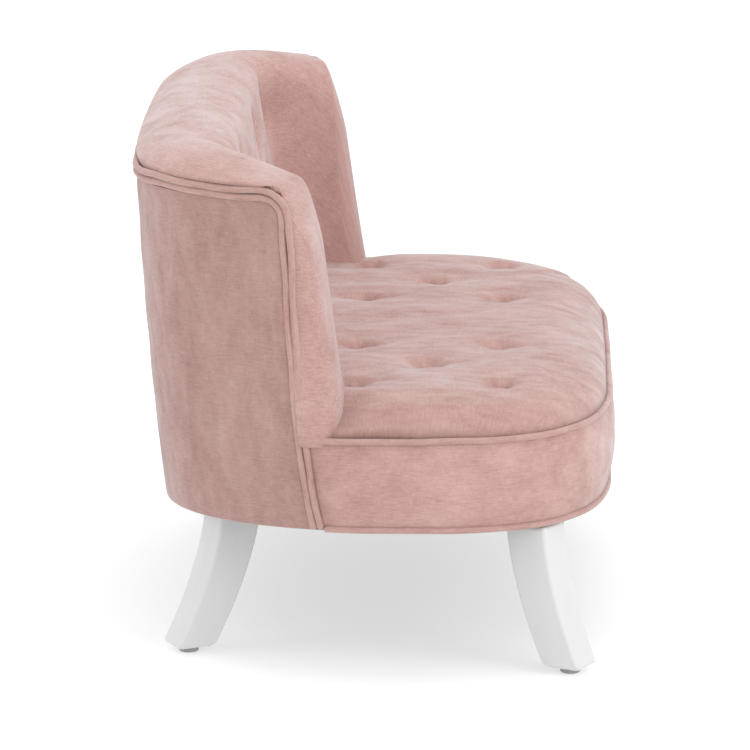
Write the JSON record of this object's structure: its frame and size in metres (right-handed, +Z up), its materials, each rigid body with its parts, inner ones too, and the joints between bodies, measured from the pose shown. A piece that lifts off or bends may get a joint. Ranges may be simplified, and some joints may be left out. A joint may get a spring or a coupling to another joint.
{
  "type": "child tub settee",
  "caption": "Low upholstered child's tub settee with a tufted seat, one padded wrap-round arm and back, corded seams and splayed sabre legs.",
  "frame": {"origin": "on the floor, under the centre of the settee's outline", "axes": "+Z up, the settee faces -Y, +X to the sitter's left"},
  "size_m": [0.6834, 0.4265, 0.4535],
  "materials": {
    "velvet": "brushed woven velvet",
    "softwood": "sawn",
    "plywood": "raw bent plywood",
    "white_lacquer": "white satin lacquer",
    "zinc_steel": "zinc plated",
    "glide_plastic": "moulded",
    "lining_cloth": "black non-woven lining"
  },
  "bodies": {
    "root": {"outside_cover": "velvet", "back_pad": "velvet", "corner_left_pad": "velvet", "corner_right_pad": "velvet", "arm_left_pad": "velvet", "arm_right_pad": "velvet", "seat_pad": "velvet", "seat_band": "velvet", "seat_piping_top": "velvet", "seat_piping_bottom": "velvet", "welt_outer": "velvet", "welt_inner": "velvet", "base_rail_back": "softwood", "base_rail_front": "softwood", "base_rail_left": "softwood", "base_rail_right": "softwood", "leg_block_rear_left": "softwood", "leg_block_front_left": "softwood", "leg_block_rear_right": "softwood", "leg_block_front_right": "softwood", "seat_deck": "plywood", "back_board": "plywood", "corner_left_board": "plywood", "corner_right_board": "plywood", "arm_left_board": "plywood", "arm_right_board": "plywood", "leg_front_left": "white_lacquer", "leg_front_right": "white_lacquer", "leg_rear_left": "white_lacquer", "leg_rear_right": "white_lacquer", "leg_plate_front_left": "zinc_steel", "leg_plate_front_right": "zinc_steel", "leg_plate_rear_left": "zinc_steel", "leg_plate_rear_right": "zinc_steel", "leg_bolt_front_left": "zinc_steel", "leg_bolt_front_right": "zinc_steel", "leg_bolt_rear_left": "zinc_steel", "leg_bolt_rear_right": "zinc_steel", "glide_front_left": "glide_plastic", "glide_front_right": "glide_plastic", "glide_rear_left": "glide_plastic", "glide_rear_right": "glide_plastic", "dust_cover": "lining_cloth"}
  },
  "joints": []
}
